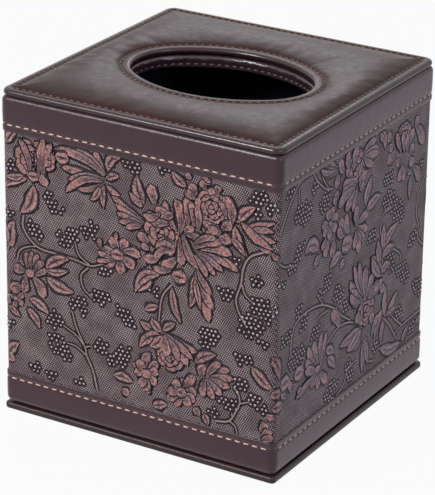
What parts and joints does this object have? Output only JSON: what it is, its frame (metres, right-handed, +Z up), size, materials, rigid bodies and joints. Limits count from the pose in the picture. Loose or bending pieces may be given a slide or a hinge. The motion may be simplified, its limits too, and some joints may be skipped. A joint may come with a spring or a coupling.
{
  "type": "tissue box cover",
  "caption": "Cube-shaped tissue box cover wrapped in floral-embossed brown leather, with plain stitched bands, a padded top with an oval mouth, and a hinged base flap.",
  "frame": {"origin": "middle of the base flap's underside, on the table", "axes": "+Z up; -Y is the front, where the magnets hold the cover to its base flap; +Y is the back, with the hinge; +X is the right side, along the mouth's long axis"},
  "size_m": [0.1306, 0.1306, 0.1436],
  "materials": {
    "fibreboard": "raw medium-density fibreboard",
    "card": "grey-brown card",
    "foam": "soft pale foam",
    "leather_plain": "smooth dark brown leather, satin",
    "leather_panel": "fine-grained dark brown leather, satin, lightly creased",
    "leather_floral": "leather embossed with flowers, leaves and berries in muted copper over dark brown",
    "leather_hinge": "split leather strip, matt",
    "felt": "black felt lining",
    "thread_light": "waxed thread, pale copper",
    "thread_dark": "waxed thread, tan brown",
    "magnet": "nickel-plated bar magnet",
    "plate": "zinc-plated steel plate"
  },
  "bodies": {
    "base_flap": {"base_board": "fibreboard", "base_leather": "leather_plain", "base_lining": "felt", "catch_plates": "plate", "hinge_base_leaf": "leather_hinge"},
    "cover": {"front_board": "fibreboard", "back_board": "fibreboard", "left_board": "fibreboard", "right_board": "fibreboard", "top_board": "fibreboard", "floral_wrap": "leather_floral", "upper_band": "leather_plain", "lower_band": "leather_plain", "upper_band_stitches": "thread_light", "lower_band_stitches": "thread_light", "side_lining": "felt", "top_lining": "felt", "mouth_collar": "leather_plain", "collar_stitches": "thread_dark", "panel_board": "card", "panel_foam": "foam", "panel_leather": "leather_panel", "panel_edge_stitches": "thread_dark", "mouth_stitches": "thread_dark", "wall_magnets": "magnet", "hinge_wall_leaf": "leather_hinge"}
  },
  "joints": [
    {"name": "cover_hinge", "type": "hinge", "parent": "base_flap", "child": "cover", "pos_m": [0, 0.0644, 0.00315], "axis": [-1, 0, 0], "range_deg": [0, 90]}
  ]
}
